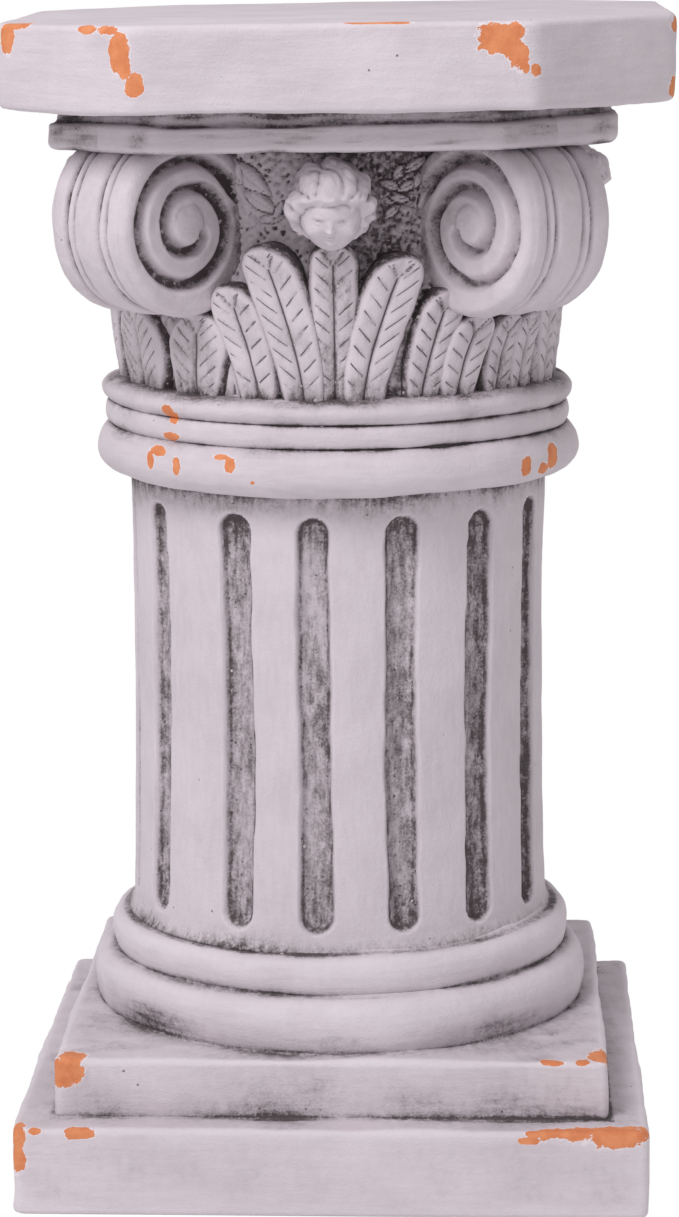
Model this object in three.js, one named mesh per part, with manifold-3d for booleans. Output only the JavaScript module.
// A pedestal plant stand: a short fluted column cast in terracotta as one hollow shell, open below.
// From the ground up it has a square plinth with a step, two round mouldings, a shaft with round-ended
// flutes, a collar of three rings, a bell wrapped in upright leaves with a scroll at each corner and a
// cherub's head on each side, and a square top with its corners cut off, in two layers.
// Millimetres, +Z up, the origin on the ground under the middle. The front looks along -Y.
// An angle round the column is in degrees from the front, growing towards +X.
import * as THREE from "three";
import { mergeVertices } from "three/addons/utils/BufferGeometryUtils.js";
import Module from "manifold-3d";

// Square foot
const PLINTH_WIDTH = 219;
const PLINTH_HEIGHT = 31;
const STEP_WIDTH = 190.6;
const STEP_HEIGHT = 20.6;
const PLINTH_CORNER = 5; // rounding of the upright corners
const PLINTH_EDGE = 3; // rounding of the level edges

// Round mouldings under the shaft
const LOWER_TORUS_HEIGHT = 19.3;
const LOWER_TORUS_RADIUS = 89.3;
const UPPER_TORUS_HEIGHT = 13.6;
const UPPER_TORUS_RADIUS = 83.2;
const TORUS_GROOVE = 6.5; // how far the groove over the lower torus lies inside it

// Fluted shaft
const SHAFT_LENGTH = 160.4;
const SHAFT_FOOT_RADIUS = 75;
const SHAFT_WAIST_RADIUS = 73.6;
const SHAFT_HEAD_RADIUS = 74.2;
const SHAFT_FLARE = 2.6; // how far the shaft spreads where it meets the torus
// The flutes were pressed in by hand, so their spacing wanders a little.
const FLUTE_ANGLES = [-56.5, -26.5, -4.4, 19.5, 43.7, 67.5, 91, 115, 139, 163, 187, 211, 235, 258, 281];
const FLUTE_WIDTH = 11.8;
const FLUTE_DEPTH = 4.4;
const FLUTE_END_GAP_TOP = 7.2; // plain shaft above and below each flute
const FLUTE_END_GAP_FOOT = 6.1;

// Collar of three rings
const LOWER_RING_HEIGHT = 17;
const LOWER_RING_RADIUS = 86.3;
const MIDDLE_RING_HEIGHT = 8.1;
const MIDDLE_RING_RADIUS = 82.8;
const UPPER_RING_HEIGHT = 8.5;
const UPPER_RING_RADIUS = 83.9;
const RING_GROOVE = 1.9; // depth of the lines between the rings

// Bell under the top. It is full behind the leaves, and drawn in behind the heads and scrolls.
const BELL_HEIGHT = 84.2;
const BELL_FOOT_RADIUS = 73.6;
const BELL_MIDDLE_RADIUS = 76.4;
const BELL_FULL_SHARE = 0.32; // share of its height where it is fullest
const BELL_NECK_SHARE = 0.58; // share of its height from where it is drawn in

// Leaves round the bell. A leaf's tip leans over by its lean, away from its foot's own angle.
const LEAF_THICKNESS = 4.2;
const LEAF_RUN = [
  { foot: 1.5, lean: -0.5, height: 54, width: 17, share: 0.6 },
  { foot: 10.2, lean: 6.2, height: 49.5, width: 19, share: 1 },
  { foot: 24.4, lean: 5.5, height: 37.5, width: 17, share: 0.75 },
  { foot: 34.2, lean: 6, height: 29.5, width: 19, share: 1 },
  { foot: 47.6, lean: 4.5, height: 28, width: 17, share: 0.75 },
  { foot: 56, lean: 3, height: 27.5, width: 15, share: 1 },
  { foot: 63.5, lean: 2, height: 31, width: 15, share: 0.75 },
  { foot: 71, lean: -4, height: 38, width: 17, share: 1 },
  { foot: 81.5, lean: -6, height: 50.5, width: 19, share: 0.9 },
  { foot: 90, lean: 0, height: 54, width: 17, share: 0.6 },
  { foot: -8, lean: -8, height: 52.5, width: 19, share: 1 },
  { foot: -21.2, lean: -5, height: 39, width: 18, share: 0.9 },
  { foot: -37.5, lean: 3, height: 29.5, width: 26, share: 0.75 },
  { foot: -59.5, lean: -1, height: 29.5, width: 33, share: 0.9 },
  { foot: -82, lean: 6, height: 49, width: 19, share: 1 },
];
const HALF_TURNS = [0, 180]; // the run of leaves goes round twice

// Corner scrolls
const CORNERS = [45, 135, 225, 315];
const SCROLL_RADIUS = 30;
const SCROLL_SET_BACK = 12.1; // from the edge of the neck slab in to its axis
const SCROLL_STAND_OUT = 18.4; // from the bell's ground out to its axis
const SCROLL_SINK = 3.9; // how far the roll reaches up into the layer above
const SCROLL_LENGTH = 40;
const SCROLL_RIM = 9.5; // width of the plain band at each end
const SCROLL_CORD = 4; // width of the thin rib between two grooves
const SCROLL_GROOVE = 1.8;
const SPIRAL_TURNS = 1.9;
const SPIRAL_DEPTH = 4;
const SPIRAL_WIDTH = 5;

// Cherub heads, one in the middle of each side
const SIDES = [0, 90, 180, 270];
const HEAD_SET_BACK = 14; // from the edge of the neck slab in to the middle of the head
const HEAD_HALF_WIDTH = 10.6;
const HEAD_HALF_HEIGHT = 14.4;
const HEAD_HALF_DEPTH = 11;
const HAIR_DEPTH = 4.4;
const HEAD_NOD = 12; // degrees the face looks down
const HEAD_CLEARANCE = 3.6; // from the hair to the layer above

// Top
const NECK_SLAB_WIDTH = 194;
const NECK_SLAB_CHAMFER = 39;
const NECK_SLAB_HEIGHT = 14;
const TOP_SLAB_WIDTH = 229;
const TOP_SLAB_CHAMFER = 48;
const TOP_SLAB_HEIGHT = 29.3;
const SLAB_CORNER = 4;
const SLAB_EDGE = 3.4;

// Hollow inside
const WALL = 9;
const TOP_WALL = 15;

// How far one piece of the form is sunk into the next, so that they join
const SEAT = 5;
const ROUND_STEPS = 28; // facets round the column
const WELL_STEPS = 20; // facets round the well inside it
const SCROLL_STEPS = 14; // facets round a scroll

// Heights of the joints between the layers
const plinthTop = PLINTH_HEIGHT;
const stepTop = plinthTop + STEP_HEIGHT;
const lowerTorusTop = stepTop + LOWER_TORUS_HEIGHT;
const upperTorusTop = lowerTorusTop + UPPER_TORUS_HEIGHT;
const shaftTop = upperTorusTop + SHAFT_LENGTH;
const lowerRingTop = shaftTop + LOWER_RING_HEIGHT;
const middleRingTop = lowerRingTop + MIDDLE_RING_HEIGHT;
const upperRingTop = middleRingTop + UPPER_RING_HEIGHT;
const bellTop = upperRingTop + BELL_HEIGHT;
const neckSlabTop = bellTop + NECK_SLAB_HEIGHT;
const topOfStand = neckSlabTop + TOP_SLAB_HEIGHT;

// Distances from the upright axis
const scrollReach = NECK_SLAB_WIDTH / 2 - SCROLL_SET_BACK;
const headReach = NECK_SLAB_WIDTH / 2 - HEAD_SET_BACK;
const bellNeckRadius = scrollReach - SCROLL_STAND_OUT;

const radians = THREE.MathUtils.degToRad;
const wasm = await Module();
wasm.setup();

// A closed geometry as a solid that can be joined and cut.
function solidOf(geometry) {
  const bare = new THREE.BufferGeometry();
  bare.setAttribute("position", geometry.getAttribute("position").clone());
  if (geometry.index) bare.setIndex(geometry.index.clone());
  const merged = mergeVertices(bare, 1e-3);
  return new wasm.Manifold(
    new wasm.Mesh({
      numProp: 3,
      vertProperties: merged.attributes.position.array,
      triVerts: new Uint32Array(merged.index.array),
    }),
  );
}

// A closed surface from rings of points, each ring as long as the next, with a fan over both ends.
function loft(rings) {
  const count = rings[0].length;
  const positions = rings.flat().flatMap((p) => [p.x, p.y, p.z]);
  const index = [];
  for (let ring = 0; ring + 1 < rings.length; ring++) {
    for (let i = 0; i < count; i++) {
      const a = ring * count + i;
      const b = ring * count + ((i + 1) % count);
      index.push(a, b, b + count, a, b + count, a + count);
    }
  }
  [rings[0], rings.at(-1)].forEach((ring, end) => {
    const middle = ring.reduce((sum, p) => sum.add(p), new THREE.Vector3()).divideScalar(count);
    const hub = positions.length / 3;
    positions.push(middle.x, middle.y, middle.z);
    const start = end ? (rings.length - 1) * count : 0;
    for (let i = 0; i < count; i++) {
      const a = start + i;
      const b = start + ((i + 1) % count);
      index.push(...(end ? [a, b, hub] : [b, a, hub]));
    }
  });
  const geometry = new THREE.BufferGeometry();
  geometry.setAttribute("position", new THREE.Float32BufferAttribute(positions, 3));
  geometry.setIndex(index);
  return geometry;
}

// The level outline of a square with its corners cut off by chamfer, and each angle rounded.
function squareOutline(halfWidth, chamfer, rounding, z) {
  const near = halfWidth - chamfer;
  const angles = [];
  for (let side = 0; side < 4; side++) {
    const turn = (side * Math.PI) / 2;
    const spin = (x, y) =>
      new THREE.Vector2(
        x * Math.cos(turn) - y * Math.sin(turn),
        x * Math.sin(turn) + y * Math.cos(turn),
      );
    angles.push(spin(halfWidth, near));
    if (chamfer > 0) angles.push(spin(near, halfWidth));
  }
  const arcSteps = chamfer > 0 ? 1 : 2;
  return angles.flatMap((angle, i) => {
    const before = angles.at(i - 1);
    const after = angles[(i + 1) % angles.length];
    const start = angle.clone().add(before.clone().sub(angle).setLength(rounding));
    const end = angle.clone().add(after.clone().sub(angle).setLength(rounding));
    const arc = new THREE.QuadraticBezierCurve(start, angle, end);
    return arc.getPoints(arcSteps).map((p) => new THREE.Vector3(p.x, p.y, z));
  });
}

// A square slab with rounded level edges. Its chamfer shrinks as the outline is moved inwards.
function slab({ width, chamfer = 0, base, height, corner, edge, sunk = 0 }) {
  const rows = [];
  for (const [share, inset] of [[0, 1], [0.3, 0.3], [1, 0]]) rows.push([base + edge * share, edge * inset]);
  for (const [share, inset] of [[1, 0], [0.3, 0.3], [0, 1]]) rows.push([base + height - edge * share, edge * inset]);
  if (sunk > 0) rows.unshift([base - sunk, edge]);
  const chamferLoss = 2 - Math.SQRT2;
  return loft(
    rows.map(([z, inset]) =>
      squareOutline(
        width / 2 - inset,
        chamfer > 0 ? chamfer - chamferLoss * inset : 0,
        corner,
        z,
      ),
    ),
  );
}

// Points of a round moulding from one height to another, bulging from its inner to its outer radius.
function bead(bottom, top, innerFoot, innerHead, outer, steps) {
  const points = [];
  for (let i = 0; i <= steps; i++) {
    const turn = (Math.PI * i) / steps;
    const inner = THREE.MathUtils.lerp(innerFoot, innerHead, i / steps);
    const z = (bottom + top) / 2 - ((top - bottom) / 2) * Math.cos(turn);
    points.push(new THREE.Vector2(inner + (outer - inner) * Math.sin(turn), z));
  }
  return points;
}

// Turns a profile of (radius, height) points round the upright axis.
function turned(points, steps = ROUND_STEPS) {
  const geometry = new THREE.LatheGeometry(points, steps);
  geometry.rotateX(Math.PI / 2);
  return geometry;
}

// Moves a geometry from the front of the column to an angle round it.
function sweptTo(geometry, degrees) {
  return geometry.rotateZ(radians(degrees));
}

// The radius that the leaves stand on, at a height above the bell's foot.
function fullRadius(height) {
  const share = Math.min(1, height / (BELL_FULL_SHARE * BELL_HEIGHT));
  return THREE.MathUtils.lerp(BELL_FOOT_RADIUS, BELL_MIDDLE_RADIUS, share);
}

// The bell's own radius at a height above its foot.
function bellRadius(height) {
  const closing = THREE.MathUtils.smoothstep(height / BELL_HEIGHT, BELL_FULL_SHARE, BELL_NECK_SHARE);
  return THREE.MathUtils.lerp(fullRadius(height), bellNeckRadius, closing);
}

// The turned core: mouldings, shaft, collar and bell.
function core() {
  const torusGroove = LOWER_TORUS_RADIUS - TORUS_GROOVE;
  const shaftFoot = SHAFT_FOOT_RADIUS + SHAFT_FLARE;
  const ringGroove = MIDDLE_RING_RADIUS - RING_GROOVE;
  const at = (radius, z) => new THREE.Vector2(radius, z);
  const bell = [0, BELL_FULL_SHARE, BELL_NECK_SHARE, 1].map((share) =>
    at(bellRadius(share * BELL_HEIGHT), upperRingTop + share * BELL_HEIGHT),
  );
  return turned([
    at(0, stepTop - SEAT),
    at(torusGroove, stepTop - SEAT),
    ...bead(stepTop, lowerTorusTop, torusGroove, torusGroove - 1, LOWER_TORUS_RADIUS, 4),
    ...bead(lowerTorusTop, upperTorusTop, torusGroove - 1, shaftFoot, UPPER_TORUS_RADIUS, 3).slice(1),
    at(SHAFT_FOOT_RADIUS, upperTorusTop + 2.2 * SHAFT_FLARE),
    at(SHAFT_WAIST_RADIUS, (upperTorusTop + shaftTop) / 2),
    at(SHAFT_HEAD_RADIUS, shaftTop),
    ...bead(shaftTop, lowerRingTop, SHAFT_HEAD_RADIUS + 1, ringGroove, LOWER_RING_RADIUS, 4).slice(1),
    at(MIDDLE_RING_RADIUS, lowerRingTop + MIDDLE_RING_HEIGHT * 0.3),
    at(MIDDLE_RING_RADIUS, lowerRingTop + MIDDLE_RING_HEIGHT * 0.7),
    ...bead(middleRingTop, upperRingTop, ringGroove, BELL_FOOT_RADIUS, UPPER_RING_RADIUS, 3),
    ...bell.slice(1),
    at(bellNeckRadius, bellTop + SEAT),
    at(0, bellTop + SEAT),
  ]);
}

// A round-ended bar that cuts one flute: its circle gives the flute its width and depth.
function fluteCutter(angle) {
  const radius = (FLUTE_WIDTH ** 2 / 4 + FLUTE_DEPTH ** 2) / (2 * FLUTE_DEPTH);
  const bottom = upperTorusTop + FLUTE_END_GAP_FOOT;
  const top = shaftTop - FLUTE_END_GAP_TOP;
  const cutter = new THREE.CapsuleGeometry(radius, top - bottom - FLUTE_WIDTH, 2, 8);
  cutter.rotateX(Math.PI / 2);
  const reach = SHAFT_WAIST_RADIUS + radius - FLUTE_DEPTH;
  cutter.translate(0, -reach, (bottom + top) / 2);
  return sweptTo(cutter, angle);
}

// One upright leaf in front of the bell, in rows from its foot to its broad round tip. It is solid back
// to the bell, as a mould that has to come off makes it.
function leaf({ foot, lean, height, width, share }, halfTurn) {
  const rows = [
    [-0.04, 0.9],
    [0.6, 1],
    [0.88, 0.88],
    [1, 0.45],
  ];
  const columns = [
    [-1, 0],
    [-0.62, 1],
    [0.62, 1],
    [1, 0],
  ];
  const rings = rows.map(([along, widthShare]) => {
    const risen = Math.max(0, along);
    const full = fullRadius(risen * height);
    const back = bellRadius(risen * height) - SEAT;
    const middle = radians(foot + halfTurn + lean * risen ** 1.5);
    const point = (across, radius) => {
      const angle = middle + (across * widthShare * width) / 2 / full;
      return new THREE.Vector3(
        radius * Math.sin(angle),
        -radius * Math.cos(angle),
        upperRingTop + along * height,
      );
    };
    const thickness = share * LEAF_THICKNESS * (0.8 + 0.3 * risen);
    const front = columns.map(([across, lift]) => point(across, full + lift * thickness - 0.5));
    return [...front, point(0.9, back), point(-0.9, back)];
  });
  return loft(rings);
}

// One corner scroll: a ribbed roll lying level across the corner, with its axis under the layer above.
function scrollRoll() {
  const end = SCROLL_LENGTH / 2;
  const rib = end - SCROLL_RIM - SCROLL_CORD;
  const deep = SCROLL_RADIUS - SCROLL_GROOVE;
  const half = [
    [SCROLL_RADIUS, rib * 0.6],
    [deep, rib],
    [SCROLL_RADIUS - SCROLL_GROOVE * 0.4, rib + SCROLL_CORD * 0.5],
    [deep, rib + SCROLL_CORD],
    [SCROLL_RADIUS, rib + SCROLL_CORD * 1.6],
    [SCROLL_RADIUS - SCROLL_GROOVE, end],
    [0, end],
  ];
  const profile = [
    ...half.map(([radius, along]) => new THREE.Vector2(radius, -along)).reverse(),
    ...half.map(([radius, along]) => new THREE.Vector2(radius, along)),
  ];
  return new THREE.LatheGeometry(profile, SCROLL_STEPS);
}

// The wedge that cuts the spiral line into one end of a scroll. It is closed along its own length.
function spiralCutter(hand) {
  const end = SCROLL_LENGTH / 2;
  const steps = Math.round(SPIRAL_TURNS * 6);
  const rings = [];
  for (let i = 0; i <= steps; i++) {
    const share = i / steps;
    const turn = Math.PI / 2 + hand * share * SPIRAL_TURNS * 2 * Math.PI;
    const radius = SCROLL_RADIUS * THREE.MathUtils.lerp(0.84, 0.26, share ** 0.85);
    const halfWidth = (SPIRAL_WIDTH / 2) * THREE.MathUtils.lerp(1, 0.7, share);
    const depth = SPIRAL_DEPTH * Math.min(1, 0.2 + 6 * share, 0.3 + 5 * (1 - share));
    const at = (distance, along) =>
      new THREE.Vector3(distance * Math.cos(turn), along, distance * Math.sin(turn));
    const ring = [at(radius - halfWidth, end + 0.5), at(radius, end - depth), at(radius + halfWidth, end + 0.5)];
    rings.push(hand > 0 ? ring : ring.reverse());
  }
  return loft(rings);
}

// The scroll with a spiral at both ends, turned to lie across a corner of the bell.
function scroll(corner) {
  const height = bellTop + SCROLL_SINK - SCROLL_RADIUS;
  const placed = (geometry) => {
    geometry.rotateZ(Math.PI / 2);
    geometry.translate(0, -scrollReach, height);
    return sweptTo(geometry, corner);
  };
  const farEnd = spiralCutter(-1).rotateX(Math.PI);
  return solidOf(placed(scrollRoll()))
    .subtract(solidOf(placed(spiralCutter(1))))
    .subtract(solidOf(placed(farEnd)));
}

// Height that a soft round bump adds at an angle from its middle.
function bump(direction, across, up, spread, height) {
  const middle = new THREE.Vector3(
    Math.sin(radians(across)) * Math.cos(radians(up)),
    -Math.cos(radians(across)) * Math.cos(radians(up)),
    Math.sin(radians(up)),
  );
  const away = direction.angleTo(middle) / radians(spread);
  return height * Math.exp(-away * away);
}

// A generic child's head with thick curls. It is one closed surface, described from its middle outwards,
// and its back is drawn out so that it runs into the bell.
function head() {
  const around = 12;
  const rings = [];
  const levels = [-74, -45, -25, -6, 12, 32, 54, 78];
  for (const up of levels) {
    const ring = [];
    for (let i = 0; i < around; i++) {
      const across = (i * 360) / around - 180;
      const direction = new THREE.Vector3(
        Math.sin(radians(across)) * Math.cos(radians(up)),
        -Math.cos(radians(across)) * Math.cos(radians(up)),
        Math.sin(radians(up)),
      );
      const depth = direction.y > 0 ? headReach - bellNeckRadius + SEAT : HEAD_HALF_DEPTH;
      let radius = 1 / Math.hypot(
        direction.x / HEAD_HALF_WIDTH,
        direction.y / depth,
        direction.z / HEAD_HALF_HEIGHT,
      );
      radius += bump(direction, 0, -10, 10, 2.6);
      radius += bump(direction, 30, -24, 18, 1.1) + bump(direction, -30, -24, 18, 1.1);
      radius += bump(direction, 0, -52, 14, 0.9);
      radius -= bump(direction, 22, 4, 10, 1.3) + bump(direction, -22, 4, 10, 1.3);
      const hair = Math.max(up - 24, Math.abs(across) - 62 - 0.3 * up);
      const curls = 0.5 + 0.5 * Math.cos(radians(across * 6)) * Math.cos(radians(up * 5));
      radius += THREE.MathUtils.smoothstep(hair, 0, 10) * HAIR_DEPTH * (0.55 + 0.45 * curls);
      ring.push(direction.multiplyScalar(radius));
    }
    rings.push(ring);
  }
  return loft(rings);
}

// The head leaned forward and set in the middle of one side, just under the top.
function headOn(side) {
  const geometry = head();
  geometry.rotateX(radians(HEAD_NOD));
  geometry.computeBoundingBox();
  const rise = bellTop - HEAD_CLEARANCE - geometry.boundingBox.max.z;
  geometry.translate(0, -headReach, rise);
  return sweptTo(geometry, side);
}

// The hollow: square rooms inside the foot and the step, then a round well that follows the outside,
// is narrower behind the heads and stops under the top.
function hollow() {
  const footRoom = slab({
    width: PLINTH_WIDTH - 2 * WALL,
    base: -SEAT,
    height: plinthTop - WALL + SEAT,
    corner: PLINTH_CORNER,
    edge: PLINTH_EDGE,
  });
  const stepRoom = slab({
    width: STEP_WIDTH - 2 * WALL,
    base: 0,
    height: stepTop - WALL,
    corner: PLINTH_CORNER,
    edge: PLINTH_EDGE,
  });
  const wellRadius = Math.min(SHAFT_WAIST_RADIUS, BELL_FOOT_RADIUS) - WALL;
  const neckWellRadius = Math.min(wellRadius, bellNeckRadius - WALL);
  const narrowing = upperRingTop + BELL_FULL_SHARE * BELL_HEIGHT - WALL;
  const well = turned([
    new THREE.Vector2(0, 0),
    new THREE.Vector2(wellRadius, 0),
    new THREE.Vector2(wellRadius, narrowing),
    new THREE.Vector2(neckWellRadius, narrowing + 2 * WALL),
    new THREE.Vector2(neckWellRadius, topOfStand - TOP_WALL - WALL),
    new THREE.Vector2(neckWellRadius - WALL, topOfStand - TOP_WALL),
    new THREE.Vector2(0, topOfStand - TOP_WALL),
  ], WELL_STEPS);
  return solidOf(footRoom).add(solidOf(stepRoom)).add(solidOf(well));
}

// The whole stand as one shell.
function stand() {
  const foot = slab({
    width: PLINTH_WIDTH,
    base: 0,
    height: PLINTH_HEIGHT,
    corner: PLINTH_CORNER,
    edge: PLINTH_EDGE,
  });
  const step = slab({
    width: STEP_WIDTH,
    base: plinthTop - PLINTH_EDGE,
    height: STEP_HEIGHT + PLINTH_EDGE,
    corner: PLINTH_CORNER,
    edge: PLINTH_EDGE / 2,
    sunk: SEAT,
  });
  const neckSlab = slab({
    width: NECK_SLAB_WIDTH,
    chamfer: NECK_SLAB_CHAMFER,
    base: bellTop,
    height: NECK_SLAB_HEIGHT + SEAT,
    corner: SLAB_CORNER,
    edge: SLAB_EDGE,
  });
  const topSlab = slab({
    width: TOP_SLAB_WIDTH,
    chamfer: TOP_SLAB_CHAMFER,
    base: neckSlabTop,
    height: TOP_SLAB_HEIGHT,
    corner: SLAB_CORNER,
    edge: SLAB_EDGE,
  });
  let body = solidOf(core());
  for (const angle of FLUTE_ANGLES) body = body.subtract(solidOf(fluteCutter(angle)));
  for (const block of [foot, step, neckSlab, topSlab]) body = body.add(solidOf(block));
  for (const halfTurn of HALF_TURNS) {
    for (const shape of LEAF_RUN) body = body.add(solidOf(leaf(shape, halfTurn)));
  }
  for (const corner of CORNERS) body = body.add(scroll(corner));
  for (const side of SIDES) body = body.add(solidOf(headOn(side)));
  return body.subtract(hollow());
}

// The joined solid back as a three.js geometry.
function geometryOf(solid) {
  const mesh = solid.getMesh();
  const geometry = new THREE.BufferGeometry();
  geometry.setAttribute("position", new THREE.BufferAttribute(new Float32Array(mesh.vertProperties), 3));
  geometry.setIndex(new THREE.BufferAttribute(new Uint32Array(mesh.triVerts), 1));
  return geometry;
}

const paintedTerracotta = new THREE.MeshStandardMaterial({
  color: new THREE.Color(0.69, 0.64, 0.67),
  roughness: 0.72,
  metalness: 0,
  flatShading: true,
});

const pedestal = new THREE.Mesh(geometryOf(stand()), paintedTerracotta);
pedestal.name = "pedestal";

const model = new THREE.Group();
model.add(pedestal);
export default model;
